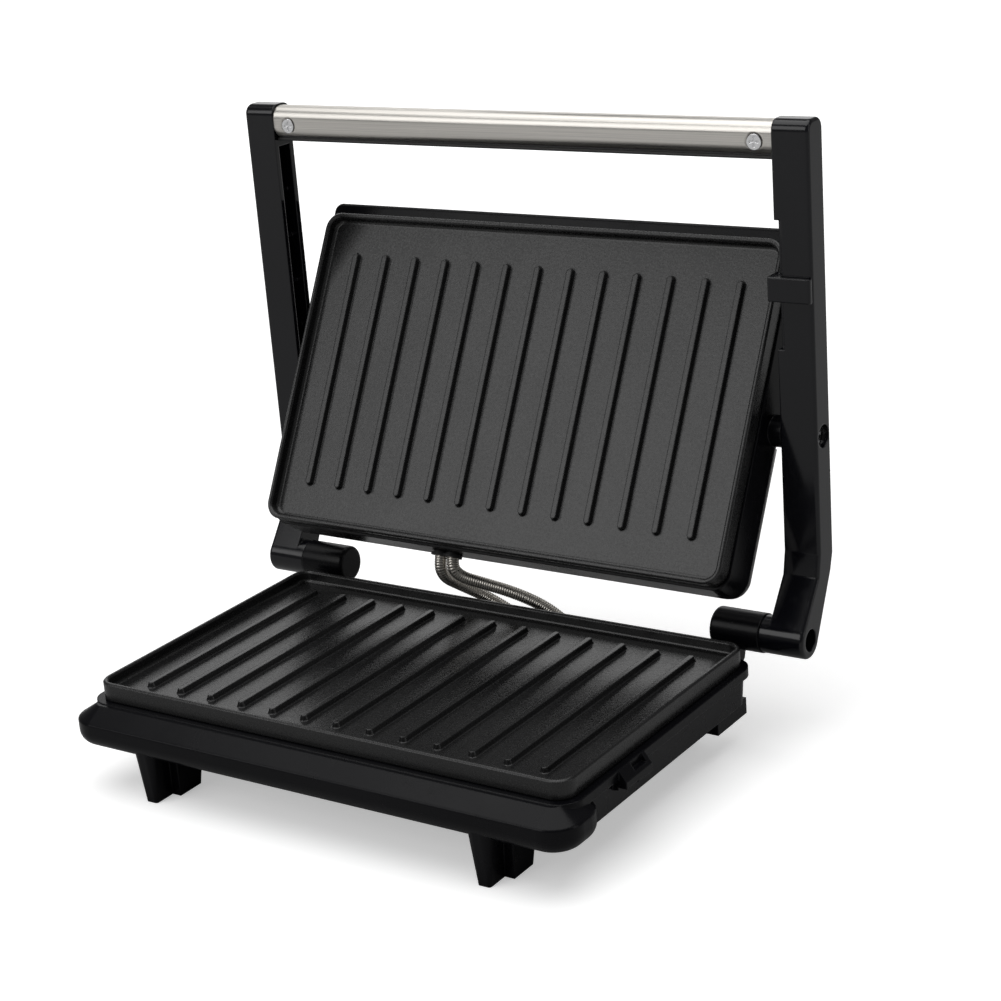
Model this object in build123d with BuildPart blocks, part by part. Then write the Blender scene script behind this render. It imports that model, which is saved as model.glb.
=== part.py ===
from build123d import *
import math
import os

os.makedirs("parts", exist_ok=True)

# Two-slice panini press, open. Millimetres, +Z up, the front is -Y, the table is Z = 0.

# ---------------------------------------------------------------- driving sizes
PLATE_W = 236.0          # grill plate, outside of the rim
PLATE_D = 146.0
PLATE_R = 7.8
RIM_H = 8.0              # rim, top to bottom
RIM_T = 2.3
FLOOR_DROP = 5.2         # rim top to cooking surface
RIDGES = 13
RIDGE_PITCH = 16.6
RIDGE_W = 4.2
RIDGE_H = 2.3
LOWER_RIDGE_LEN = 120.0
UPPER_RIDGE_LEN = 111.0

RIM_Z = 46.0             # table to the lower plate's rim
BUMPER_SIDE = 7.5        # front lip, out past the plate's sides
BUMPER_OUT = 13.5        # front lip, ahead of the plate
SKIRT_H = 17.7
WALL = 2.6

HINGE_BACK = 12.5        # hinge axis, behind the plate
HINGE_Z = RIM_Z + 0.5
BARREL_R = 8.6
BARREL_LEN = 23.2
ARM_GAP = 7.5            # plate's side to an arm's inner face
ARM_T = 16.0
ARM_DEPTH = 13.2
ARM_OVER = 69.5          # how much further an arm's top is from the rim than the plate is deep
ARM_BARREL_R = 8.2

PIVOT_V = 70.0           # lid pivot, from the lid plate's rear edge
PIVOT_N = 21.5           # lid pivot, behind the lid plate's rim
PIVOT_BACK = 17.1        # lid pivot, behind the hinge axis with the arms upright
CLOSED_GAP = 3.6         # between the rims when closed
LID_ANGLE = 60.9         # of the open lid's plate, from level

PIN_D = 6.0
RUN = 0.06               # radial running clearance of a pin
SEAT = 0.3               # gap between moving pieces, and under the plates
FIT = 0.05               # gap between pieces that are fixed together
HANDLE_DOWN = 8.3        # arm's top to the middle of the handle
HANDLE_H = 15.2
TONGUE = (6.0, 8.0)      # end of the handle's core, let into each arm
SCREW_D = 4.0
THREAD_R = SCREW_D / 2 - 0.25
TUBE_D = 6.6             # heating element
LEAD_D = 5.6             # spring-covered lead

# ------------------------------------------------------------ hinge arithmetic
SIDE = PLATE_W / 2
BUMPER_W = PLATE_W + 2 * BUMPER_SIDE
ARM_IN = SIDE + ARM_GAP  # inner face of an arm, from the middle
BARREL_OUT = ARM_IN - 4.5
BARREL_IN = BARREL_OUT - BARREL_LEN
HINGE_Y = PLATE_D + HINGE_BACK
PIVOT_Y = HINGE_Y + PIVOT_BACK
ARM_TOP = RIM_Z + PLATE_D + ARM_OVER
closed_y = PLATE_D - PIVOT_V - HINGE_Y
closed_z = RIM_Z + CLOSED_GAP + PIVOT_N - HINGE_Z
arm_reach = math.hypot(closed_y, closed_z)
pivot_z = HINGE_Z + math.sqrt(arm_reach**2 - (PIVOT_Y - HINGE_Y) ** 2)
arm_travel = math.degrees(
    math.atan2(closed_z, closed_y) - math.atan2(pivot_z - HINGE_Z, PIVOT_Y - HINGE_Y)
)
lid_travel = 180.0 - LID_ANGLE - arm_travel
c, s = math.cos(math.radians(LID_ANGLE)), math.sin(math.radians(LID_ANGLE))
lid_y = PIVOT_Y - PIVOT_V * c - PIVOT_N * s
lid_z = pivot_z - PIVOT_V * s + PIVOT_N * c
arm_front = PIVOT_Y - ARM_DEPTH / 2
arm_back = PIVOT_Y + ARM_DEPTH / 2

# The origin is under the middle of the open press, from its front lip to the lid's back edge.
COVER_N = RIM_H + TUBE_D + 14.9  # lid, rim to back
LIP_V = PLATE_D + 6.4    # front lip of the lid
HANDLE_Z = ARM_TOP - HANDLE_DOWN
Y_MIN = -BUMPER_OUT
Y_MAX = lid_y + (PLATE_D + 1.2 - 4.8) * c + COVER_N * s
Y_SHIFT = -(Y_MIN + Y_MAX) / 2
BASE = Location((0, Y_SHIFT, 0))
LOWER = Location((0, Y_SHIFT, RIM_Z))
LID = Location((0, Y_SHIFT + lid_y, lid_z), (LID_ANGLE, 0, 0))
MID = PLATE_D / 2


def save(part, name, place):
    part.label = name
    out = part.moved(place)
    out.label = name
    export_step(out, "parts/" + name + ".step")


def level(z, y=MID):
    return Plane((0, y, z))


# ------------------------------------------------------------------ the plates
BOSSES = [(x, y) for x in (20.0 - SIDE, SIDE - 20.0) for y in (30.0, PLATE_D - 30.0)]
SEAT_Z = -RIM_H - SEAT       # top edge of a housing, just under the plate
DECK_Z = -RIM_H - TUBE_D - 1.0   # top of the deck that the plates are screwed to
DECK_T = 2.0


def grill_plate(ridge_len):
    with BuildPart() as plate:
        with BuildSketch(level(-RIM_H)):
            RectangleRounded(PLATE_W, PLATE_D, PLATE_R)
        extrude(amount=RIM_H)
        with BuildSketch(level(0)):
            RectangleRounded(PLATE_W - 2 * RIM_T, PLATE_D - 2 * RIM_T, PLATE_R - RIM_T)
        extrude(amount=-FLOOR_DROP, mode=Mode.SUBTRACT)
        chamfer(plate.faces().sort_by(Axis.Z)[-1].edges(), 0.7)
        floor_in = plate.faces().filter_by(Axis.Z).group_by(Axis.Z)[-2]
        fillet(floor_in.edges(), 1.6)
        with BuildSketch(level(-FLOOR_DROP - 0.3)):
            with GridLocations(RIDGE_PITCH, 0, RIDGES, 1):
                SlotOverall(ridge_len, RIDGE_W, rotation=90)
        extrude(amount=RIDGE_H + 0.3, taper=18)
        with Locations(*[(x, y, -RIM_H) for x, y in BOSSES]):
            Cylinder(5.0, -DECK_Z - RIM_H - 0.1, align=(Align.CENTER, Align.CENTER, Align.MAX))
        with Locations(*[(x, y, DECK_Z) for x, y in BOSSES]):
            Cylinder(THREAD_R, 7.2, align=(Align.CENTER, Align.CENTER, Align.MIN),
                     mode=Mode.SUBTRACT)
    return plate


lower_plate = grill_plate(LOWER_RIDGE_LEN)
save(lower_plate.part, "lower_grill_plate", LOWER)
upper_plate = grill_plate(UPPER_RIDGE_LEN)
save(upper_plate.part, "upper_grill_plate", LID)


# ------------------------------------------------- heating elements, reflectors
ELEMENT_Z = -RIM_H - TUBE_D / 2 - FIT
ENDS = 14.0              # of an element, each side of the middle


def heating_element():
    wide, near, far, back = SIDE - 40.0, 32.0, PLATE_D - 62.0, PLATE_D - 42.0
    pts = [(-ENDS, back), (-ENDS, far), (-wide, far), (-wide, near),
           (wide, near), (wide, far), (ENDS, far), (ENDS, back)]
    with BuildPart() as element:
        with BuildLine():
            path = FilletPolyline(*[(x, y, ELEMENT_Z) for x, y in pts], radius=9.5)
        with BuildSketch(Plane((-ENDS, back, ELEMENT_Z), z_dir=(0, -1, 0))):
            Circle(TUBE_D / 2)
        sweep(path=path)
        with Locations(*[Location((x, back - 1, ELEMENT_Z), (-90, 0, 0)) for x in (-ENDS, ENDS)]):
            Cylinder(1.7, 13.0, align=(Align.CENTER, Align.CENTER, Align.MIN))
    return element


def reflector():
    with BuildPart() as sheet:
        with BuildSketch(level(DECK_Z + FIT)):
            RectangleRounded(PLATE_W - 30, PLATE_D - 24, 8)
        extrude(amount=0.5)
        with Locations(*[(x, y, DECK_Z) for x, y in BOSSES]):
            Cylinder(5.6, 3.0, mode=Mode.SUBTRACT)
    return sheet


SCREW_LEN = DECK_T + 7.0


def screws(spots, top_z, length, head_r, head_h):
    """Pan-head screws that go up from top_z, with the head below it."""
    with BuildPart() as set_:
        with Locations(*[(x, y, top_z) for x, y in spots]):
            Cylinder(THREAD_R, length, align=(Align.CENTER, Align.CENTER, Align.MIN))
            Cylinder(head_r, head_h, align=(Align.CENTER, Align.CENTER, Align.MAX))
        heads = set_.faces().filter_by(Axis.Z).group_by(Axis.Z)[0]
        fillet(heads.edges(), head_h * 0.45)
        with Locations(*[(x, y, top_z - head_h) for x, y in spots]):
            Box(head_r * 1.1, 0.8, 1.0, mode=Mode.SUBTRACT)
            Box(0.8, head_r * 1.1, 1.0, mode=Mode.SUBTRACT)
    return set_


lower_element = heating_element()
save(lower_element.part, "lower_heating_element", LOWER)
upper_element = heating_element()
save(upper_element.part, "upper_heating_element", LID)
lower_reflector = reflector()
save(lower_reflector.part, "lower_heat_reflector", LOWER)
upper_reflector = reflector()
save(upper_reflector.part, "upper_heat_reflector", LID)
lower_plate_screws = screws(BOSSES, DECK_Z - DECK_T - FIT, SCREW_LEN, 3.6, 2.2)
save(lower_plate_screws.part, "lower_plate_screws", LOWER)
upper_plate_screws = screws(BOSSES, DECK_Z - DECK_T - FIT, SCREW_LEN, 3.6, 2.2)
save(upper_plate_screws.part, "upper_plate_screws", LID)

# Lever thermostat under the lower plate, thermal fuse behind the upper plate.
with BuildPart() as thermostat:
    with Locations((0, 58, -RIM_H - 0.1)):
        Cylinder(7.5, 4.0, align=(Align.CENTER, Align.CENTER, Align.MAX))
    with Locations((0, 58, -RIM_H - 0.1)):
        Box(26, 9, 0.8, align=(Align.CENTER, Align.CENTER, Align.MAX))
    with Locations((-5, 58, -RIM_H - 4.0), (5, 58, -RIM_H - 4.0)):
        Box(0.8, 6.3, TUBE_D - 3.6, align=(Align.CENTER, Align.CENTER, Align.MAX))
save(thermostat.part, "thermostat", LOWER)
with BuildPart() as fuse:
    with Locations(Location((0, 58, -RIM_H - 2.4), (0, 90, 0))):
        Cylinder(2.0, 12.0)
        Cylinder(0.5, 34.0)
    with Locations((0, 58, -RIM_H - 0.1)):
        Box(5, 8, 3.2, align=(Align.CENTER, Align.CENTER, Align.MAX))
save(fuse.part, "thermal_fuse", LID)

# ---------------------------------------------------------------- base housing
SKIRT_Z = SEAT_Z - SKIRT_H
FOOT_X = SIDE - 33.5
REAR_FOOT = PLATE_D - 17.0
COVER_POSTS = [(x, y) for x in (14.0 - SIDE, SIDE - 14.0) for y in (14.0, PLATE_D - 14.0)]
TAB_Y = (33.0, 53.0)
LIP_MID = 2.4            # middle of the front lip, from the plate's front edge
LIP_CREASE_Z = SEAT_Z - 5.7
LIP_R = 13.0
GLAND_X = 68.0
GLAND_R = 3.3
BUSH_R = LEAD_D / 2 + 0.6
LID_LEAN = 5.0           # degrees that the lid's walls lean out
LEAD_X = (12.5, 34.5)    # where the two leads enter the base
LEAD_Z = SKIRT_Z + 5.2
LID_LEAD_X = (-29.8, -23.5)  # where they leave the lid
LID_LEAD_N = DECK_Z - 3.4
rear_wall = PLATE_D + 1.0    # outer face of the base's rear wall, low down
# outer face of the lid's rear wall, which leans out, at the edge of a bush
lid_rear = -1.2 - (BUSH_R + 1.0 + SEAT_Z - LID_LEAD_N) * math.tan(math.radians(LID_LEAN))


def foot(x, y, top):
    """One moulded T-shaped foot under the base: a box at the back, a rib ahead of it."""
    with BuildSketch(Plane((x, y, -RIM_Z))) as tread:
        with Locations((0, 6.8)):
            Rectangle(15, 13.4)
        with Locations((0, -4.4)):
            RectangleRounded(6.0, 11.6, 1.2)
    extrude(tread.sketch, amount=RIM_Z + top, taper=-6)


# Front lip that wraps round both front corners, its top sloping up under the plate's rim.
with BuildPart() as lip:
    with BuildSketch(level(LIP_CREASE_Z, LIP_MID)):
        RectangleRounded(BUMPER_W, 2 * (BUMPER_OUT + LIP_MID), LIP_R)
    extrude(amount=SKIRT_Z + 0.6 - LIP_CREASE_Z)
    with BuildSketch(level(LIP_CREASE_Z, LIP_MID)):
        RectangleRounded(BUMPER_W, 2 * (BUMPER_OUT + LIP_MID), LIP_R)
    extrude(amount=SEAT_Z - SEAT - LIP_CREASE_Z, taper=58)
    fillet(lip.faces().sort_by(Axis.Z)[0].edges(), 6.5)
    crease = lip.edges().filter_by(lambda e: abs(e.center().Z - LIP_CREASE_Z) < 0.05)
    fillet(crease, 1.2)

with BuildPart() as base:
    with BuildSketch(level(SEAT_Z)):
        RectangleRounded(PLATE_W + 1.6, PLATE_D + 3.0, PLATE_R)
    extrude(amount=-SKIRT_H, taper=4)
    # moulded bead under the plate's rim
    with BuildSketch(level(SEAT_Z - 4.1, MID - 0.5)):
        RectangleRounded(PLATE_W + 6.6, PLATE_D + 5.0, PLATE_R + 2)
    extrude(amount=4.1)
    add(lip.part)
    # rear corners of the side skirts, which stand lower than the rest
    for side in (-1, 1):
        with BuildSketch(Plane.YZ.offset(side * (SIDE - 2.9) - 1.5)):
            with BuildLine():
                Polyline((PLATE_D - 25, SKIRT_Z + 1), (PLATE_D - 25, SKIRT_Z - 6.2),
                         (PLATE_D + 0.5, SKIRT_Z - 6.2), (PLATE_D + 0.5, SKIRT_Z + 1), close=True)
            make_face()
        extrude(amount=3.0)
        with Locations((side * (SIDE - 13), PLATE_D - 23.6, SKIRT_Z + 1)):
            Box(20, 2.6, 7.2, align=(Align.CENTER, Align.CENTER, Align.MAX))
    # hinge barrels, each on a bracket at its inner end
    for side in (-1, 1):
        with Locations(Location((side * BARREL_IN, HINGE_Y, HINGE_Z - RIM_Z), (0, side * 90, 0))):
            Cylinder(BARREL_R, BARREL_LEN, align=(Align.CENTER, Align.CENTER, Align.MIN))
        inner_end = base.edges().filter_by(GeomType.CIRCLE).filter_by(
            lambda e: abs(e.center().X - side * BARREL_IN) < 0.01 and abs(e.radius - BARREL_R) < 0.01)
        fillet(inner_end, 1.8)
        with BuildSketch(Plane.YZ.offset(side * (BARREL_IN + 7.0) - 5.0)):
            with BuildLine():
                Polyline((PLATE_D + 0.6, SEAT_Z - 13.7), (PLATE_D + 0.6, SEAT_Z - 0.7),
                         (HINGE_Y - 6.4, -4.0), (HINGE_Y + 4.0, -4.0),
                         (HINGE_Y + 1.0, SEAT_Z - 4.7), close=True)
            make_face()
        extrude(amount=10.0)
    # catch on the right side, with its notch
    with BuildSketch(Plane.XZ.offset(-TAB_Y[0])):
        with BuildLine():
            Polyline((SIDE - 2, SEAT_Z - 0.2), (SIDE + 3.4, SEAT_Z - 0.2), (SIDE + 6.6, SEAT_Z - 4.7),
                     (SIDE + 6.6, SEAT_Z - 8.1), (SIDE - 3, SEAT_Z - 9.5), close=True)
        make_face()
    extrude(amount=-(TAB_Y[1] - TAB_Y[0]))
    with Locations((SIDE + 6.4, TAB_Y[1] - 7.0, SEAT_Z - 0.7)):
        Box(6.4, 9.0, 5.6, mode=Mode.SUBTRACT)
    with Locations((SIDE + 6.0, TAB_Y[0] + 4.0, SEAT_Z - 8.7)):
        Box(6.4, 10.0, 2.4, mode=Mode.SUBTRACT)
    # feet
    for side in (-1, 1):
        foot(side * FOOT_X, 0.0, SKIRT_Z + 3)
        foot(side * FOOT_X, REAR_FOOT, SKIRT_Z + 3)
    # hollow above and below the deck
    with BuildSketch(level(SEAT_Z)):
        RectangleRounded(PLATE_W + 1.6 - 2 * WALL, PLATE_D + 3.0 - 2 * WALL, PLATE_R - WALL)
    extrude(amount=DECK_Z - SEAT_Z, taper=4, mode=Mode.SUBTRACT)
    with BuildSketch(level(SKIRT_Z, MID)):
        RectangleRounded(PLATE_W - 6.4, PLATE_D - 5.0, PLATE_R - WALL)
    extrude(amount=DECK_Z - DECK_T - SKIRT_Z, mode=Mode.SUBTRACT)
    # hollow of the front lip, open below
    with BuildSketch(level(SKIRT_Z, LIP_MID)):
        RectangleRounded(BUMPER_W - 12, 2 * (BUMPER_OUT + LIP_MID) - 12, 6)
    extrude(amount=6.5, mode=Mode.SUBTRACT)
    for side in (-1, 1):
        foot(side * FOOT_X, 0.0, SKIRT_Z + 8.0)
        foot(side * FOOT_X, REAR_FOOT, SKIRT_Z + 8.0)
        # the feet are hollow behind
        for y in (6.8, REAR_FOOT + 6.8):
            with Locations((side * FOOT_X, y + 1.6, -RIM_Z)):
                Box(9.4, 10.4, RIM_Z + SKIRT_Z + 1.0, align=(Align.CENTER, Align.CENTER, Align.MIN),
                    mode=Mode.SUBTRACT)
    # posts that the bottom cover is screwed to
    with Locations(*[(x, y, DECK_Z - DECK_T) for x, y in COVER_POSTS]):
        Cylinder(4.0, DECK_Z - DECK_T - SKIRT_Z - 2.1,
                 align=(Align.CENTER, Align.CENTER, Align.MAX))
    with Locations(*[(x, y, SKIRT_Z + 2.0) for x, y in COVER_POSTS]):
        Cylinder(THREAD_R, 6.5, align=(Align.CENTER, Align.CENTER, Align.MIN), mode=Mode.SUBTRACT)
    with Locations(*[(x, y, DECK_Z - DECK_T / 2) for x, y in BOSSES]):
        Cylinder(SCREW_D / 2 + 0.1, DECK_T + 0.2, mode=Mode.SUBTRACT)
    # pin bores, blind at the inner end
    for side in (-1, 1):
        with Locations(Location((side * BARREL_OUT, HINGE_Y, HINGE_Z - RIM_Z), (0, -side * 90, 0))):
            Cylinder(PIN_D / 2, 18.0, align=(Align.CENTER, Align.CENTER, Align.MIN),
                     mode=Mode.SUBTRACT)
    # holes for the cord gland and the two leads in the rear wall
    with Locations(Location((GLAND_X, rear_wall, LEAD_Z), (90, 0, 0))):
        Cylinder(GLAND_R, 14, mode=Mode.SUBTRACT)
    for x in LEAD_X:
        with Locations(Location((x, rear_wall, LEAD_Z), (90, 0, 0))):
            Cylinder(BUSH_R, 14, mode=Mode.SUBTRACT)
save(base.part, "base_housing", LOWER)

with BuildPart() as bottom:
    with BuildSketch(level(SKIRT_Z + 0.1, MID)):
        RectangleRounded(PLATE_W - 7.2, PLATE_D - 5.8, PLATE_R - WALL)
        with Locations(*[(x, y - MID) for x in (-FOOT_X, FOOT_X) for y in (3.0, REAR_FOOT + 3.0)]):
            Rectangle(24.6, 33.5, mode=Mode.SUBTRACT)
    extrude(amount=1.8)
    with BuildSketch(level(SKIRT_Z, MID)):
        with GridLocations(9, 0, 11, 1):
            SlotOverall(46, 3.0, rotation=90)
    extrude(amount=3, mode=Mode.SUBTRACT)
    with Locations(*[(x, y, SKIRT_Z) for x, y in COVER_POSTS]):
        Cylinder(SCREW_D / 2 + 0.1, 4, align=(Align.CENTER, Align.CENTER, Align.MIN),
                 mode=Mode.SUBTRACT)
save(bottom.part, "base_bottom_cover", LOWER)
bottom_screws = screws(COVER_POSTS, SKIRT_Z + FIT, 6.5, 3.4, 1.8)
save(bottom_screws.part, "bottom_cover_screws", LOWER)

with BuildPart() as terminals:
    with Locations((0, PLATE_D - 28, DECK_Z - DECK_T - 0.1)):
        Box(34, 14, 4.8, align=(Align.CENTER, Align.CENTER, Align.MAX))
    with Locations(*[(x, PLATE_D - 28, DECK_Z - DECK_T - 5.0) for x in (-11, 0, 11)]):
        Cylinder(2.0, 2.2, align=(Align.CENTER, Align.CENTER, Align.MIN), mode=Mode.SUBTRACT)
save(terminals.part, "terminal_block", LOWER)

with BuildPart() as gland:
    with Locations(Location((GLAND_X, rear_wall + 0.15, LEAD_Z), (-90, 0, 0))):
        Cylinder(GLAND_R + 1.3, 2.4, align=(Align.CENTER, Align.CENTER, Align.MIN))
    with Locations(Location((GLAND_X, rear_wall + 1.0, LEAD_Z), (90, 0, 0))):
        Cylinder(GLAND_R - FIT, 9.0, align=(Align.CENTER, Align.CENTER, Align.MIN))
    with Locations(Location((GLAND_X, rear_wall, LEAD_Z), (90, 0, 0))):
        Cylinder(GLAND_R - 1.2, 30.0, mode=Mode.SUBTRACT)
save(gland.part, "cord_gland", LOWER)

with BuildPart() as pins:
    for side in (-1, 1):
        inner_end = (side * (BARREL_OUT - 17.5), HINGE_Y, HINGE_Z - RIM_Z)
        with Locations(Location(inner_end, (0, side * 90, 0))):
            Cylinder(PIN_D / 2 - 0.001, 33.0, align=(Align.CENTER, Align.CENTER, Align.MIN))
    chamfer(pins.edges().filter_by(GeomType.CIRCLE), 0.5)
save(pins.part, "hinge_pins", LOWER)

# ------------------------------------------------------------------------ arms
# Arm shapes are drawn with Z from the plate's rim, like the rest of the base.
hz = HINGE_Z - RIM_Z
pz = pivot_z - RIM_Z
top = ARM_TOP - RIM_Z
LATCH_TRACK = (PLATE_D - 24.0, PLATE_D + 29.5)
RIB_Z = [38.0, 57.0] + [pz + 25.6 + 21.6 * i for i in range(4)]
LATCH_H = 10.0
LATCH_Z = LATCH_TRACK[0] + 20.6


def arm_profile(grow):
    """Side view of an arm, shrunk by grow all round."""
    with BuildSketch(Plane.YZ) as side:
        with Locations((HINGE_Y, hz)):
            Circle(ARM_BARREL_R - grow)
        with BuildLine():
            Polyline(
                (HINGE_Y - 6.4 + grow, hz + 5.0), (arm_front - 2.0 + grow, 25.0),
                (arm_front + grow, 35.0), (arm_front + grow, top - grow),
                (arm_back - grow, top - grow), (arm_back - grow, 32.0),
                (arm_back - 2.4 - grow, 24.5), (HINGE_Y + 7.4 - grow, hz - 3.4), close=True)
        make_face()
        corners = side.vertices().filter_by(lambda v: v.Y > top - grow - 0.01)
        fillet(corners, 4.6 - grow)
    return side.sketch


def arm_hollow(side):
    """What is taken out of an arm: open toward the lid, solid at the ends and the pivot."""
    mid = side * (ARM_IN + ARM_T / 2)
    with BuildPart() as hollow:
        add(Location((side * ARM_IN, 0, 0)) * arm_profile(2.5))
        extrude(amount=ARM_T - 5.0, dir=(side, 0, 0))
        for y, z, high in ((HINGE_Y, hz, 30), (PIVOT_Y, pz, 18), (PIVOT_Y, top - 9.5, 19)):
            with Locations((mid, y, z)):
                Box(ARM_T + 2, 30, high, mode=Mode.SUBTRACT)
        for z in RIB_Z:
            with Locations((mid + side * 4.0, PIVOT_Y, z)):
                Box(ARM_T, 30, 1.6, mode=Mode.SUBTRACT)
    return hollow


def arm(side):
    inner = side * ARM_IN
    hollow = arm_hollow(side)
    with BuildPart() as a:
        add(Location((inner, 0, 0)) * arm_profile(0))
        extrude(amount=ARM_T, dir=(side, 0, 0))
        fillet(a.faces().sort_by(Axis.X)[-1 if side > 0 else 0].edges(), 1.5)
        # barrel that meets the base's barrel
        with Locations(Location((side * (BARREL_OUT + SEAT), HINGE_Y, hz), (0, side * 90, 0))):
            Cylinder(ARM_BARREL_R, ARM_IN - BARREL_OUT - SEAT,
                     align=(Align.CENTER, Align.CENTER, Align.MIN))
        add(hollow.part, mode=Mode.SUBTRACT)
        if side > 0:
            mid_track = (LATCH_TRACK[0] + LATCH_TRACK[1]) / 2
            with Locations((inner, arm_front + 1.0, mid_track)):
                Box(6.2, 6.2, LATCH_TRACK[1] - LATCH_TRACK[0] + 4.2,
                    align=(Align.MIN, Align.MIN, Align.CENTER))
            with Locations((inner, arm_front, mid_track)):
                Box(5.6, 8.0, LATCH_TRACK[1] - LATCH_TRACK[0], mode=Mode.SUBTRACT)
        face = side * (ARM_IN + ARM_T)
        for y, z in ((HINGE_Y, hz), (PIVOT_Y, pz)):
            with Locations(Location((face, y, z), (0, -side * 90, 0))):
                Cylinder(4.9, 4.6, align=(Align.CENTER, Align.CENTER, Align.MIN),
                         mode=Mode.SUBTRACT)
                Cylinder(PIN_D / 2 + RUN, 40, align=(Align.CENTER, Align.CENTER, Align.MIN),
                         mode=Mode.SUBTRACT)
        # socket for the handle's core
        with Locations((inner, PIVOT_Y, HANDLE_Z - RIM_Z - 0.4)):
            Box(8.2, TONGUE[0] + 0.2, TONGUE[1] + 0.2, mode=Mode.SUBTRACT)
    return a


left_arm = arm(-1)
save(left_arm.part, "left_arm", LOWER)
right_arm = arm(1)
save(right_arm.part, "right_arm", LOWER)

# ---------------------------------------------------------------------- handle
bar_z = HANDLE_Z - RIM_Z
bar_len = 2 * ARM_IN - 0.2
HANDLE_SCREW_X = ARM_IN - 8.0
with BuildPart() as handle:
    with BuildSketch(Plane.YZ.offset(-bar_len / 2)):
        with Locations((PIVOT_Y, bar_z + 0.6)):
            RectangleRounded(12.4, HANDLE_H - 1.2, 5.4)
            RectangleRounded(10.0, HANDLE_H - 3.6, 4.2, mode=Mode.SUBTRACT)
        with Locations((PIVOT_Y, bar_z - HANDLE_H / 2 + 1.2)):
            Rectangle(6.4, 3.0, mode=Mode.SUBTRACT)
    extrude(amount=bar_len)
    for x in (-HANDLE_SCREW_X, HANDLE_SCREW_X):
        with Locations(Location((x, PIVOT_Y - 6.2, bar_z - 0.8), (-90, 0, 0))):
            Cone(4.2, 2.4, 1.3, align=(Align.CENTER, Align.CENTER, Align.MIN), mode=Mode.SUBTRACT)
save(handle.part, "handle_bar", LOWER)
with BuildPart() as core:
    with BuildSketch(Plane.YZ.offset(-bar_len / 2)):
        with Locations((PIVOT_Y, bar_z + 0.6)):
            RectangleRounded(9.8, HANDLE_H - 3.8, 4.1)
        with Locations((PIVOT_Y, bar_z - HANDLE_H / 2 + 1.3)):
            Rectangle(6.2, 2.6)
        with Locations((PIVOT_Y, bar_z - HANDLE_H / 2 + 0.35)):
            RectangleRounded(8.6, 1.4, 0.6)
    extrude(amount=bar_len)
    with Locations((0, PIVOT_Y, bar_z - 0.4)):
        Box(2 * ARM_IN + 7.6, TONGUE[0], TONGUE[1])
    with Locations((0, PIVOT_Y, bar_z + 0.4)):
        Box(2 * ARM_IN - 44, 4.8, 6.0, mode=Mode.SUBTRACT)
    for x in (-HANDLE_SCREW_X, HANDLE_SCREW_X):
        with Locations(Location((x, PIVOT_Y - 6.2, bar_z - 0.8), (-90, 0, 0))):
            Cylinder(1.6, 10.0, align=(Align.CENTER, Align.CENTER, Align.MIN), mode=Mode.SUBTRACT)
            Cone(4.3, 2.5, 1.5, align=(Align.CENTER, Align.CENTER, Align.MIN), mode=Mode.SUBTRACT)
save(core.part, "handle_core", LOWER)
with BuildPart() as handle_screws:
    for x in (-HANDLE_SCREW_X, HANDLE_SCREW_X):
        with Locations(Location((x, PIVOT_Y - 6.1, bar_z - 0.8), (-90, 0, 0))):
            Cone(3.3, 2.2, 1.2, align=(Align.CENTER, Align.CENTER, Align.MIN))
            Cylinder(1.55, 9.5, align=(Align.CENTER, Align.CENTER, Align.MIN))
        with Locations((x, PIVOT_Y - 6.2, bar_z - 0.8)):
            Box(4.2, 1.1, 0.8, mode=Mode.SUBTRACT)
            Box(0.8, 1.1, 4.2, mode=Mode.SUBTRACT)
save(handle_screws.part, "handle_screws", LOWER)

# Shoulder screws that the lid swings on, fast in the lid's bosses.
with BuildPart() as pivots:
    for side in (-1, 1):
        x0 = side * (ARM_IN + ARM_T - 3.0)
        with Locations(Location((x0, PIVOT_Y, pz), (0, -side * 90, 0))):
            Cylinder(4.5, 1.4, align=(Align.CENTER, Align.CENTER, Align.MIN))
            Cylinder(PIN_D / 2, 31.0, align=(Align.CENTER, Align.CENTER, Align.MIN))
            Box(6.2, 1.0, 1.4, mode=Mode.SUBTRACT)
            Box(1.0, 6.2, 1.4, mode=Mode.SUBTRACT)
save(pivots.part, "lid_pivot_screws", LOWER)

# Sliding clip on the right arm's front, guided by the notch in the arm's corner.
with BuildPart() as clip:
    with BuildSketch(Plane((0, 0, LATCH_Z))):
        with BuildLine():
            Polyline(
                (ARM_IN + ARM_T, arm_front - 0.35), (ARM_IN + ARM_T, arm_front - 2.6),
                (ARM_IN - 2.9, arm_front - 2.6), (ARM_IN - 2.9, arm_front + 7.0),
                (ARM_IN - 0.35, arm_front + 7.0), (ARM_IN - 0.35, arm_front + 3.6),
                (ARM_IN + 2.45, arm_front + 3.6), (ARM_IN + 2.45, arm_front - 0.35), close=True)
        make_face()
    extrude(amount=LATCH_H)
    fillet(clip.edges().filter_by(Axis.Z).sort_by(Axis.Y)[:2], 1.0)
save(clip.part, "latch_clip", LOWER)

# ------------------------------------------------------------------------- lid
SIDE_N = DECK_Z - DECK_T - 6.0
with BuildPart() as front_lip:
    with BuildSketch(level(SEAT_Z - 11.7, LIP_V - 7.0)):
        RectangleRounded(PLATE_W + 4.0, 14.0, 4.0)
    extrude(amount=13.4)
    fillet(front_lip.faces().filter_by(Axis.Z).edges(), 1.5)

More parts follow.
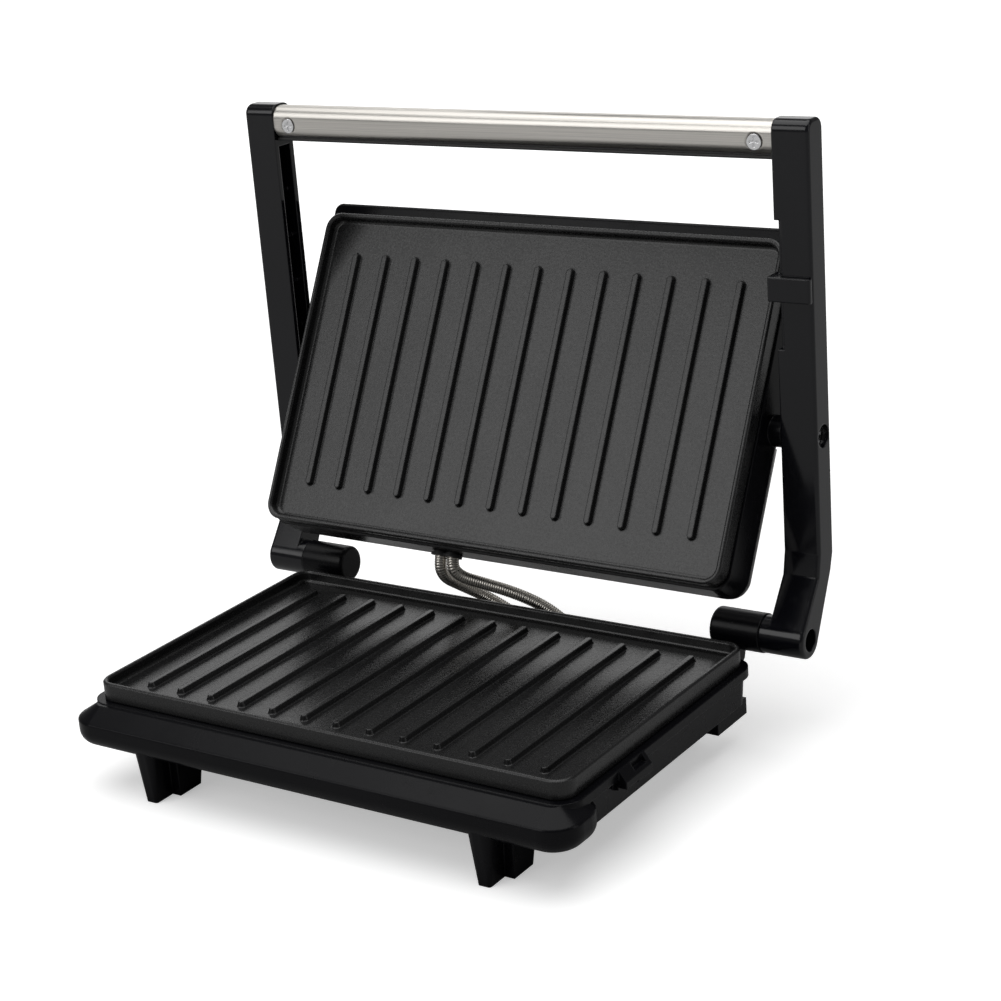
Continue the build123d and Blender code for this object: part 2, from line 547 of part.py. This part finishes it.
with BuildPart() as lid:
    with BuildSketch(level(SEAT_Z)):
        RectangleRounded(PLATE_W + 1.6, PLATE_D + 2.4, PLATE_R)
    extrude(amount=SIDE_N - SEAT_Z, taper=-LID_LEAN)
    add(front_lip.part)
    with BuildSketch(level(0, MID)):
        RectangleRounded(PLATE_W + 0.6, PLATE_D + 0.6, PLATE_R)
    extrude(amount=SEAT_Z, mode=Mode.SUBTRACT)
    with BuildSketch(level(SEAT_Z)):
        RectangleRounded(PLATE_W + 1.6 - 2 * WALL, PLATE_D + 2.4 - 2 * WALL, PLATE_R - WALL)
    extrude(amount=DECK_Z - SEAT_Z, taper=-5, mode=Mode.SUBTRACT)
    with BuildSketch(level(SIDE_N, MID)):
        RectangleRounded(PLATE_W - 1.0, PLATE_D - 0.4, PLATE_R - 1)
    extrude(amount=DECK_Z - DECK_T - SIDE_N, mode=Mode.SUBTRACT)
    for side in (-1, 1):
        with Locations(Location((side * (SIDE - 12.0), PIVOT_V, -PIVOT_N), (0, side * 90, 0))):
            Cylinder(PIN_D / 2 + 2.6, ARM_GAP - SEAT + 12.0,
                     align=(Align.CENTER, Align.CENTER, Align.MIN))
        with Locations(Location((side * (SIDE - 0.5), PIVOT_V, -PIVOT_N), (0, side * 90, 0))):
            Cylinder(PIN_D / 2 + 3.7, ARM_GAP - SEAT + 0.5,
                     align=(Align.CENTER, Align.CENTER, Align.MIN))
        with Locations(Location((side * ARM_IN, PIVOT_V, -PIVOT_N), (0, -side * 90, 0))):
            Cylinder(PIN_D / 2, 18.6, align=(Align.CENTER, Align.CENTER, Align.MIN),
                     mode=Mode.SUBTRACT)
    with Locations(*[(x, y, DECK_Z - DECK_T / 2) for x, y in BOSSES]):
        Cylinder(SCREW_D / 2 + 0.1, DECK_T + 0.2, mode=Mode.SUBTRACT)
    # two holes for the leads in the rear wall
    for x in LID_LEAD_X:
        with Locations(Location((x, 0, LID_LEAD_N), (90, 0, 0))):
            Cylinder(BUSH_R, 12, mode=Mode.SUBTRACT)
save(lid.part, "lid_housing", LID)

LAMP_X, LAMP_V = 14.0, PLATE_D - 18.0
with BuildPart() as cover:
    with BuildSketch(level(SIDE_N - 0.1, MID)):
        RectangleRounded(PLATE_W + 4.0, PLATE_D + 4.6, PLATE_R + 1)
    extrude(amount=-(COVER_N + SIDE_N - 0.1))
    fillet(cover.faces().sort_by(Axis.Z)[0].edges(), 4.8)
    offset(amount=-1.2, openings=cover.faces().sort_by(Axis.Z)[-1])
    for side in (-1, 1):
        with Locations((side * (SIDE + 2), PIVOT_V, -PIVOT_N)):
            Box(16, 14.2, 14.2, mode=Mode.SUBTRACT)
    for x in (-LAMP_X, LAMP_X):
        with Locations((x, LAMP_V, -COVER_N)):
            Cylinder(3.6, 6.0, mode=Mode.SUBTRACT)
save(cover.part, "lid_cover", LID)

with BuildPart() as lamps:
    for x in (-LAMP_X, LAMP_X):
        with Locations((x, LAMP_V, -COVER_N)):
            Cylinder(3.5, 5.0, align=(Align.CENTER, Align.CENTER, Align.MIN))
        with Locations((x, LAMP_V, -COVER_N + 1.3)):
            Cylinder(4.6, 1.0, align=(Align.CENTER, Align.CENTER, Align.MIN))
save(lamps.part, "indicator_lamps", LID)

# ---------------------------------------------- the two leads and their bushes


def bushes(spots, face, z, out):
    """Flanged bushes in a wall whose outer face looks along out (+1 or -1 in y)."""
    with Locations(*[Location((x, face + out * FIT, z), (-90 * out, 0, 0)) for x in spots]):
        Cylinder(BUSH_R + 1.0, 1.2, align=(Align.CENTER, Align.CENTER, Align.MIN))
    with Locations(*[Location((x, face + out * 0.6, z), (90 * out, 0, 0)) for x in spots]):
        Cylinder(BUSH_R - FIT, 4.2, align=(Align.CENTER, Align.CENTER, Align.MIN))
    with Locations(*[Location((x, face, z), (90, 0, 0)) for x in spots]):
        Cylinder(LEAD_D / 2 + FIT, 16.0, mode=Mode.SUBTRACT)


with BuildPart() as lid_bushes:
    bushes(LID_LEAD_X, lid_rear, LID_LEAD_N, -1)
save(lid_bushes.part, "lid_lead_bushes", LID)
with BuildPart() as base_bushes:
    bushes(LEAD_X, rear_wall, LEAD_Z, 1)
save(base_bushes.part, "base_lead_bushes", LOWER)


def lid_point(x, v, n):
    """A point of the open lid, from the middle, the rear edge and the plate's rim."""
    return (x, lid_y + v * c - n * s, lid_z - RIM_Z + v * s + n * c)


def lead(name, route):
    bends = []
    for a, b, d in zip(route, route[1:], route[2:]):
        u, w = Vector(*b) - Vector(*a), Vector(*d) - Vector(*b)
        turn = math.radians(u.get_angle(w))
        bends.append(round(0.45 * min(u.length, w.length) / math.tan(turn / 2), 2))
    with BuildPart() as tube:
        with BuildLine():
            path = FilletPolyline(*route, radius=bends)
        with BuildSketch(Plane(route[0], z_dir=Vector(*route[1]) - Vector(*route[0]))):
            Circle(LEAD_D / 2)
        sweep(path=path)
    print(name, "length", round(path.length, 1), "radii", bends,
          "volume ratio", round(tube.part.volume / (math.pi * LEAD_D**2 / 4 * path.length), 4))
    world = [(x, y + Y_SHIFT, z + RIM_Z) for x, y, z in route]
    print("   route", [tuple(round(q, 2) for q in p) for p in world])
    save(tube.part, name, LOWER)


lead("left_lead", [
    lid_point(LID_LEAD_X[0], 2.6, LID_LEAD_N), lid_point(LID_LEAD_X[0], -7.0, LID_LEAD_N),
    (-29.4, PLATE_D - 7.8, 11.4), (-27.0, PLATE_D - 0.5, 5.8), (-19.0, PLATE_D + 7.5, -1.5),
    (-6.5, PLATE_D + 10.4, -8.6), (4.5, PLATE_D + 10.4, LEAD_Z + 5.4),
    (10.5, PLATE_D + 8.6, LEAD_Z + 1.2), (LEAD_X[0], rear_wall + 4.0, LEAD_Z),
    (LEAD_X[0], rear_wall - 3.6, LEAD_Z)])
lead("right_lead", [
    lid_point(LID_LEAD_X[1], 2.6, LID_LEAD_N), lid_point(LID_LEAD_X[1], -7.0, LID_LEAD_N),
    (-20.8, PLATE_D - 7.6, 12.8), (-12.0, PLATE_D - 3.0, 9.2), (1.5, PLATE_D + 2.8, 4.4),
    (13.5, PLATE_D + 8.4, -2.5), (24.5, PLATE_D + 10.6, -11.0),
    (31.8, PLATE_D + 9.4, LEAD_Z + 3.2), (LEAD_X[1], rear_wall + 4.0, LEAD_Z),
    (LEAD_X[1], rear_wall - 3.6, LEAD_Z)])

# ------------------------------------------------------- numbers for the record
print("hinge axis", round(HINGE_Y + Y_SHIFT, 3), round(HINGE_Z, 3))
print("pivot axis", round(PIVOT_Y + Y_SHIFT, 3), round(pivot_z, 3))
print("arm travel", round(arm_travel, 3), "lid travel", round(lid_travel, 3),
      "ratio", round(lid_travel / arm_travel, 5))
print("y shift", round(Y_SHIFT, 3), "lid corner", round(lid_y + Y_SHIFT, 3), round(lid_z, 3))
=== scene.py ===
import math

import bpy
from mathutils import Matrix, Vector


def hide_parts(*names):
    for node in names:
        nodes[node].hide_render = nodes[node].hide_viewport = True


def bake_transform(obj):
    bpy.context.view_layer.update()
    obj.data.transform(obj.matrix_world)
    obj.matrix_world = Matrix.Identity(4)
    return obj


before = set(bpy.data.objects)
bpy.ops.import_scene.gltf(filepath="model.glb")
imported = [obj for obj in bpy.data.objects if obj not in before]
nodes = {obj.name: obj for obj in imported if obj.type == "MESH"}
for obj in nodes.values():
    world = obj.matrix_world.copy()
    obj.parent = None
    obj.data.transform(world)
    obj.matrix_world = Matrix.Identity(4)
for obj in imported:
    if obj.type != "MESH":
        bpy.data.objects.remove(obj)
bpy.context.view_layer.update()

MM = 0.001


# ------------------------------------------------------------------ camera
CAMERA_PLACE = (544.4, -753.15, 425.3)
CAMERA_FORWARD = (-0.5622, 0.7525, -0.3431)
CAMERA_RIGHT = (0.8166, 0.5708, -0.0860)
LENS = 83.19
SHIFT = (0.0866, 0.0548)


def set_camera():
    """A long lens from the front right and above, rolled a little."""
    right = Vector(CAMERA_RIGHT)
    forward = Vector(CAMERA_FORWARD).normalized()
    right = (right - right.dot(forward) * forward).normalized()
    up = right.cross(forward)
    place = Matrix((right, up, -forward)).transposed().to_4x4()
    place.translation = Vector(CAMERA_PLACE) * MM
    data = bpy.data.cameras.new("camera")
    data.sensor_width = 36.0
    data.lens = LENS
    data.shift_x, data.shift_y = SHIFT
    data.clip_start = 0.02
    data.clip_end = 30.0
    camera = bpy.data.objects.new("camera", data)
    camera.matrix_world = place
    bpy.context.scene.collection.objects.link(camera)
    bpy.context.scene.camera = camera


# --------------------------------------------------------------- materials
class Shader:
    """A principled material with short calls for the nodes that feed it."""

    def __init__(self, name, color, roughness, metallic=0.0, **sockets):
        self.mat = bpy.data.materials.new(name)
        self.mat.use_nodes = True
        self.tree = self.mat.node_tree
        self.bsdf = self.tree.nodes["Principled BSDF"]
        self.bsdf.inputs["Base Color"].default_value = (*color, 1.0)
        self.bsdf.inputs["Roughness"].default_value = roughness
        self.bsdf.inputs["Metallic"].default_value = metallic
        for key, value in sockets.items():
            self.bsdf.inputs[key.replace("_", " ")].default_value = value
        self.place = self.add("ShaderNodeTexCoord").outputs["Object"]

    def add(self, kind, **values):
        node = self.tree.nodes.new(kind)
        for key, value in values.items():
            setattr(node, key, value)
        return node

    def link(self, a, b):
        self.tree.links.new(a, b)

    def stretched(self, scale):
        mapping = self.add("ShaderNodeMapping")
        mapping.inputs["Scale"].default_value = scale
        self.link(self.place, mapping.inputs["Vector"])
        return mapping.outputs["Vector"]

    def noise(self, scale, detail=2.0, where=None, rough=0.5):
        node = self.add("ShaderNodeTexNoise")
        node.inputs["Scale"].default_value = scale
        node.inputs["Detail"].default_value = detail
        node.inputs["Roughness"].default_value = rough
        self.link(where or self.place, node.inputs["Vector"])
        return node.outputs["Fac"]

    def ramp(self, source, low, high, a, b):
        node = self.add("ShaderNodeMapRange")
        for key, value in (("From Min", low), ("From Max", high), ("To Min", a), ("To Max", b)):
            node.inputs[key].default_value = value
        self.link(source, node.inputs["Value"])
        return node.outputs["Result"]

    def math(self, how, a, b):
        node = self.add("ShaderNodeMath", operation=how)
        for i, value in enumerate((a, b)):
            if isinstance(value, (int, float)):
                node.inputs[i].default_value = value
            else:
                self.link(value, node.inputs[i])
        return node.outputs[0]

    def mix(self, fac, a, b):
        node = self.add("ShaderNodeMix", data_type="RGBA")
        self.link(fac, node.inputs["Factor"])
        for key, value in (("A", a), ("B", b)):
            socket = [s for s in node.inputs if s.name == key and s.type == "RGBA"][0]
            if isinstance(value, tuple):
                socket.default_value = (*value, 1.0)
            else:
                self.link(value, socket)
        return [s for s in node.outputs if s.type == "RGBA"][0]

    def edge(self, radius):
        """1 on sharp outer edges, 0 on open faces."""
        bevel = self.add("ShaderNodeBevel", samples=6)
        bevel.inputs["Radius"].default_value = radius
        geometry = self.add("ShaderNodeNewGeometry")
        dot = self.add("ShaderNodeVectorMath", operation="DOT_PRODUCT")
        self.link(bevel.outputs["Normal"], dot.inputs[0])
        self.link(geometry.outputs["Normal"], dot.inputs[1])
        return self.ramp(dot.outputs["Value"], 0.995, 0.86, 0.0, 1.0)

    def bump(self, height, strength, distance, round_radius=None):
        """Bump from a height, on normals rounded at the edges by round_radius."""
        node = self.add("ShaderNodeBump")
        node.inputs["Strength"].default_value = strength
        node.inputs["Distance"].default_value = distance
        self.link(height, node.inputs["Height"])
        if round_radius:
            bevel = self.add("ShaderNodeBevel", samples=6)
            bevel.inputs["Radius"].default_value = round_radius
            self.link(bevel.outputs["Normal"], node.inputs["Normal"])
        self.link(node.outputs["Normal"], self.bsdf.inputs["Normal"])

    def color(self, source):
        self.link(source, self.bsdf.inputs["Base Color"])

    def rough(self, source):
        self.link(source, self.bsdf.inputs["Roughness"])


def moulded_plastic(name, color, roughness, grain, edge_radius, specular=0.5):
    """Black moulded plastic: faint spark grain, flow clouding, edges rubbed smoother, and a
    painted highlight that lightens the colour along the edges.
    """
    m = Shader(name, color, roughness, Specular_IOR_Level=specular)
    cloud = m.noise(22.0, 3.0)
    fine = m.noise(1500.0, 2.0)
    edge = m.edge(edge_radius)
    # painted highlight: the colour is lightened along the sharp edges to stand in for the gloss
    # they catch
    highlight_color = tuple(min(1.0, c * 1.9 + 0.006) for c in color)
    edge_highlit = m.mix(m.math("MULTIPLY", edge, 0.55), color, highlight_color)
    cloudy = tuple(c * 1.5 + 0.001 for c in color)
    m.color(m.mix(m.ramp(cloud, 0.35, 0.7, 0.0, 0.45), edge_highlit, cloudy))
    base = m.ramp(cloud, 0.3, 0.7, roughness - 0.05, roughness + 0.06)
    dusty = m.math("ADD", base, m.ramp(m.noise(160.0, 4.0), 0.55, 0.8, 0.0, 0.07))
    m.rough(m.math("SUBTRACT", dusty, m.math("MULTIPLY", edge, 0.05)))
    m.bump(fine, grain, 0.00008, edge_radius)
    return m.mat


def non_stick(name):
    """Dark grey sprayed coating with fine pale specks over cast aluminium, and a painted
    highlight that lightens its sharp edges.
    """
    m = Shader(name, (0.008, 0.008, 0.0084), 0.30, Specular_IOR_Level=0.5)
    fleck = m.ramp(m.noise(1500.0, 3.0, rough=0.7), 0.60, 0.72, 0.0, 1.0)
    haze = m.ramp(m.noise(30.0, 4.0), 0.3, 0.75, 0.0, 1.0)
    ground = m.mix(haze, (0.006, 0.006, 0.0063), (0.009, 0.009, 0.0093))
    edge = m.edge(0.0007)
    # painted highlight: lighter colour along the sharp edges, such as the ridges' ends and
    # flanks
    ground_edge_highlit = m.mix(m.math("MULTIPLY", edge, 0.45), ground, (0.05, 0.05, 0.052))
    m.color(m.mix(m.math("MULTIPLY", fleck, 0.4), ground_edge_highlit, (0.08, 0.08, 0.084)))
    grain = m.noise(900.0, 4.0, rough=0.65)
    m.rough(m.math("ADD", m.ramp(grain, 0.3, 0.7, 0.19, 0.31), m.math("MULTIPLY", haze, 0.05)))
    m.bump(grain, 0.45, 0.00010, 0.0008)
    return m.mat


HAIRLINES = (9.0, 2600.0, 2600.0)    # noise scale: long in x, fine across it


def brushed(name, color, roughness):
    """Metal brushed along x, with long fine hairlines."""
    m = Shader(name, color, roughness, 1.0, Anisotropic=0.55)
    hair = m.noise(1.0, 3.0, m.stretched(HAIRLINES), 0.6)
    coarse = m.noise(1.0, 2.0, m.stretched(tuple(v * 0.22 for v in HAIRLINES)))
    dark = tuple(c * 0.80 for c in color)
    light = tuple(min(1.0, c * 1.10) for c in color)
    m.color(m.mix(m.ramp(hair, 0.3, 0.7, 0.0, 1.0), dark, light))
    streak = m.math("ADD", m.ramp(hair, 0.25, 0.75, roughness - 0.08, roughness + 0.10),
                    m.ramp(coarse, 0.3, 0.7, -0.03, 0.03))
    m.rough(streak)
    m.bump(hair, 0.10, 0.00004, 0.0005)
    return m.mat


def machined(name, color, roughness):
    """Turned or pressed metal with a little scatter and handling marks."""
    m = Shader(name, color, roughness, 1.0)
    spots = m.noise(700.0, 4.0, rough=0.6)
    edge = m.edge(0.0003)
    m.color(m.mix(m.ramp(spots, 0.35, 0.75, 0.0, 0.35), color, tuple(c * 0.6 for c in color)))
    m.rough(m.math("ADD", m.ramp(spots, 0.3, 0.7, roughness - 0.06, roughness + 0.08),
                   m.math("MULTIPLY", edge, -0.04)))
    m.bump(spots, 0.12, 0.00004, 0.0003)
    return m.mat


def ceramic(name, color):
    m = Shader(name, color, 0.5)
    pores = m.noise(1200.0, 3.0)
    m.color(m.mix(m.ramp(pores, 0.5, 0.8, 0.0, 0.5), color, tuple(c * 0.8 for c in color)))
    m.rough(m.ramp(pores, 0.3, 0.7, 0.42, 0.6))
    m.bump(pores, 0.3, 0.0001, 0.0003)
    return m.mat


def lamp_glass(name, color):
    m = Shader(name, color, 0.12, Transmission_Weight=0.35, Coat_Weight=0.5)
    cells = m.noise(500.0, 1.0)
    m.color(m.mix(m.ramp(cells, 0.3, 0.7, 0.0, 0.4), color, tuple(c * 0.6 for c in color)))
    m.rough(m.ramp(cells, 0.3, 0.7, 0.08, 0.18))
    m.bump(cells, 0.2, 0.0002, 0.0003)
    return m.mat


MATERIALS = {
    "base_plastic": moulded_plastic("base_plastic", (0.0022, 0.0022, 0.0031),
                                    0.24, 0.20, 0.0009, 0.14),
    "arm_plastic": moulded_plastic("arm_plastic", (0.0020, 0.0021, 0.0036),
                                   0.12, 0.06, 0.0009, 0.42),
    "inner_plastic": moulded_plastic("inner_plastic", (0.012, 0.012, 0.012), 0.45, 0.4, 0.0006),
    "coating": non_stick("coating"),
    "handle_metal": brushed("handle_metal", (0.84, 0.81, 0.76), 0.36),
    "cover_metal": brushed("cover_metal", (0.56, 0.55, 0.54), 0.32),
    "sheet_steel": machined("sheet_steel", (0.55, 0.55, 0.55), 0.34),
    "bright_steel": machined("bright_steel", (0.90, 0.90, 0.91), 0.15),
    "spring_steel": machined("spring_steel", (0.62, 0.59, 0.54), 0.26),
    "ceramic": ceramic("ceramic", (0.72, 0.69, 0.62)),
    "lamp": lamp_glass("lamp", (0.55, 0.05, 0.03)),
    "rubber": moulded_plastic("rubber", (0.012, 0.012, 0.012), 0.6, 0.6, 0.0004),
}
WEARS = {
    "base_plastic": ["base_housing", "base_bottom_cover", "lid_housing"],
    "arm_plastic": ["left_arm", "right_arm", "latch_clip"],
    "inner_plastic": ["handle_core"],
    "coating": ["lower_grill_plate", "upper_grill_plate"],
    "handle_metal": ["handle_bar"],
    "cover_metal": ["lid_cover"],
    "sheet_steel": ["lower_heating_element", "upper_heating_element",
                    "lower_heat_reflector", "upper_heat_reflector"],
    "bright_steel": ["lower_plate_screws", "upper_plate_screws", "bottom_cover_screws",
                     "handle_screws", "lid_pivot_screws", "hinge_pins"],
    "ceramic": ["thermostat", "thermal_fuse", "terminal_block"],
    "lamp": ["indicator_lamps"],
    "rubber": ["cord_gland", "base_lead_bushes", "lid_lead_bushes"],
}


def dress_nodes():
    for name, wearers in WEARS.items():
        for node in wearers:
            data = nodes[node].data
            data.materials.clear()
            data.materials.append(MATERIALS[name])


# ------------------------------------------------------------------- leads
LEAD_D = 5.6
COIL_PITCH = 1.05        # from one turn of the spring to the next
COIL_DEPTH = 0.62        # of the wire's radius, how deep the groove between two turns is
SIDES = 28
STEPS_PER_TURN = 7
LEFT_ROUTE = [
    (-29.8, 38.49, 73.2), (-29.8, 33.82, 64.81), (-29.4, 36.05, 57.4), (-27.0, 43.35, 51.8),
    (-19.0, 51.35, 44.5), (-6.5, 54.25, 37.4), (4.5, 54.25, 30.6), (10.5, 52.45, 26.4),
    (12.5, 48.85, 25.2), (12.5, 41.25, 25.2)]
RIGHT_ROUTE = [
    (-23.5, 38.49, 73.2), (-23.5, 33.82, 64.81), (-20.8, 36.25, 58.8), (-12.0, 40.85, 55.2),
    (1.5, 46.65, 50.4), (13.5, 52.25, 43.5), (24.5, 54.45, 35.0), (31.8, 53.25, 28.4),
    (34.5, 48.85, 25.2), (34.5, 41.25, 25.2)]


def smooth_line(name, route):
    """The points of the smooth curve that the route's points control."""
    curve = bpy.data.curves.new(name + "_line", "CURVE")
    curve.dimensions = "3D"
    curve.resolution_u = 24
    spline = curve.splines.new("NURBS")
    spline.points.add(len(route) - 1)
    for point, place in zip(spline.points, route):
        point.co = (*(v * MM for v in place), 1.0)
    spline.order_u = 3
    spline.use_endpoint_u = True
    carrier = bpy.data.objects.new(name + "_line", curve)
    bpy.context.scene.collection.objects.link(carrier)
    bpy.context.view_layer.update()
    mesh = bpy.data.meshes.new_from_object(carrier)
    line = [v.co.copy() for v in mesh.vertices]
    bpy.data.meshes.remove(mesh)
    bpy.data.objects.remove(carrier)
    bpy.data.curves.remove(curve)
    return line


def resample(line, step):
    """Points a step apart along a line of points."""
    out = [line[0]]
    carry = 0.0
    for a, b in zip(line, line[1:]):
        span = (b - a).length
        at = step - carry
        while at <= span:
            out.append(a.lerp(b, at / span))
            at += step
        carry = (carry + span) % step
    return out


def spring_tube(name, line, turn_offset):
    """A close-wound round-wire spring along the line, as one closed mesh."""
    radius = LEAD_D / 2 * MM
    wire = COIL_PITCH / 2 * MM
    side = (line[1] - line[0]).normalized().orthogonal().normalized()
    verts, faces = [], []
    walked = turn_offset
    for i, point in enumerate(line):
        ahead = line[min(i + 1, len(line) - 1)] - line[max(i - 1, 0)]
        ahead.normalize()
        side = (side - side.dot(ahead) * ahead).normalized()
        other = ahead.cross(side)
        if i:
            walked += (point - line[i - 1]).length
        for k in range(SIDES):
            angle = 2 * math.pi * k / SIDES
            phase = (walked / (COIL_PITCH * MM) - k / SIDES) % 1.0
            bulge = math.sqrt(max(0.0, 1.0 - (2 * phase - 1) ** 2))
            r = radius - wire * COIL_DEPTH * (1.0 - bulge)
            verts.append(point + r * (math.cos(angle) * side + math.sin(angle) * other))
    for i in range(len(line) - 1):
        for k in range(SIDES):
            n = (k + 1) % SIDES
            here, there = i * SIDES, (i + 1) * SIDES
            faces.append((here + k, here + n, there + n, there + k))
    last = (len(line) - 1) * SIDES
    faces.append(tuple(reversed(range(SIDES))))
    faces.append(tuple(last + k for k in range(SIDES)))
    mesh = bpy.data.meshes.new(name)
    mesh.from_pydata([tuple(v) for v in verts], [], faces)
    mesh.polygons.foreach_set("use_smooth", [True] * len(mesh.polygons))
    mesh.materials.append(MATERIALS["spring_steel"])
    mesh.update()
    tube = bpy.data.objects.new(name, mesh)
    bpy.context.scene.collection.objects.link(tube)
    return tube


def length_of(line):
    return sum((b - a).length for a, b in zip(line, line[1:]))


def make_lead(name, route):
    """A lead in two pieces: one reaches from lid to arms, the other from arms to base."""
    line = resample(smooth_line(name, route), COIL_PITCH * MM / STEPS_PER_TURN)
    half = len(line) // 2
    upper_line, lower_line = line[:half + 1], line[half:]
    upper = spring_tube(name + "_upper", upper_line, 0.0)
    lower = spring_tube(name + "_lower", lower_line, length_of(upper_line))
    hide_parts(name)
    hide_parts(name)
    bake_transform(upper)
    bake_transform(lower)


# ----------------------------------------------------------- floor and light
FLOOR_SEEN = (0.92, 0.92, 0.92)
FLOOR_REFLECTED = (0.45, 0.45, 0.45)
FLOOR_GLOW = 0.42        # seen by the camera only, so that the shadow looks faint
FLOOR_REACH = 8.0
OVERHEAD = 1.9           # strength of the soft sun above
OVERHEAD_SPREAD = 70.0   # its angle across, in degrees
WORLD_REFLECTED = 0.16
WORLD_SEEN = 0.97
MIDDLE = (0.0, 0.0, 0.1)     # what the softboxes are turned to
SOFTBOXES = [            # name, place, width and height, radiance
    ("left_front", (-0.92, -1.7, 1.2), (1.6, 1.1), 2.0),
    ("right", (1.6, 0.3, 0.7), (0.4, 1.2), 1.2),
    ("back", (-1.2, 1.7, 0.8), (1.7, 0.9), 0.9),
]


def floor_material():
    """Pale floor that the camera sees brighter than the object and its gloss do."""
    mat = bpy.data.materials.new("floor")
    mat.use_nodes = True
    tree = mat.node_tree
    shader = tree.nodes["Principled BSDF"]
    shader.inputs["Roughness"].default_value = 0.8
    shader.inputs["Metallic"].default_value = 0.0
    shader.inputs["Specular IOR Level"].default_value = 0.0
    shader.inputs["Emission Color"].default_value = (1.0, 1.0, 1.0, 1.0)
    path = tree.nodes.new("ShaderNodeLightPath")
    mix = tree.nodes.new("ShaderNodeMix")
    mix.data_type = "RGBA"
    colors = [socket for socket in mix.inputs if socket.type == "RGBA"]
    colors[0].default_value = (*FLOOR_REFLECTED, 1.0)
    colors[1].default_value = (*FLOOR_SEEN, 1.0)
    tree.links.new(path.outputs["Is Camera Ray"], mix.inputs["Factor"])
    mixed = [socket for socket in mix.outputs if socket.type == "RGBA"][0]
    tree.links.new(mixed, shader.inputs["Base Color"])
    glow = tree.nodes.new("ShaderNodeMath")
    glow.operation = "MULTIPLY"
    glow.inputs[1].default_value = FLOOR_GLOW
    tree.links.new(path.outputs["Is Camera Ray"], glow.inputs[0])
    tree.links.new(glow.outputs[0], shader.inputs["Emission Strength"])
    return mat


def make_floor():
    mesh = bpy.data.meshes.new("floor")
    reach = FLOOR_REACH
    corners = [(-reach, -reach, 0), (reach, -reach, 0), (reach, reach, 0), (-reach, reach, 0)]
    mesh.from_pydata(corners, [], [(0, 1, 2, 3)])
    mesh.materials.append(floor_material())
    floor = bpy.data.objects.new("floor", mesh)
    bpy.context.scene.collection.objects.link(floor)


def aimed(lamp, place, aim):
    lamp.location = place
    lamp.rotation_euler = (Vector(aim) - Vector(place)).to_track_quat("-Z", "Y").to_euler()
    bpy.context.scene.collection.objects.link(lamp)


def softbox(name, place, size, radiance):
    """A rectangular light whose face has the given brightness."""
    data = bpy.data.lights.new(name, "AREA")
    data.shape = "RECTANGLE"
    data.size, data.size_y = size
    data.energy = radiance * math.pi * size[0] * size[1]
    aimed(bpy.data.objects.new(name, data), place, MIDDLE)


def make_light():
    sun = bpy.data.lights.new("overhead", "SUN")
    sun.energy = OVERHEAD
    sun.angle = math.radians(OVERHEAD_SPREAD)
    aimed(bpy.data.objects.new("overhead", sun), (0.0, 0.0, 3.0), (0.15, 0.1, 0.0))
    for name, place, size, radiance in SOFTBOXES:
        softbox(name, place, size, radiance)
    world = bpy.data.worlds.new("studio")
    world.use_nodes = True
    tree = world.node_tree
    back = tree.nodes["Background"]
    back.inputs["Color"].default_value = (1.0, 1.0, 1.0, 1.0)
    path = tree.nodes.new("ShaderNodeLightPath")
    strength = tree.nodes.new("ShaderNodeMapRange")
    strength.inputs["To Min"].default_value = WORLD_REFLECTED
    strength.inputs["To Max"].default_value = WORLD_SEEN
    tree.links.new(path.outputs["Is Camera Ray"], strength.inputs["Value"])
    tree.links.new(strength.outputs["Result"], back.inputs["Strength"])
    bpy.context.scene.world = world
    bpy.context.scene.view_settings.view_transform = "Standard"


set_camera()
make_lead("left_lead", LEFT_ROUTE)
make_lead("right_lead", RIGHT_ROUTE)
dress_nodes()
make_floor()
make_light()
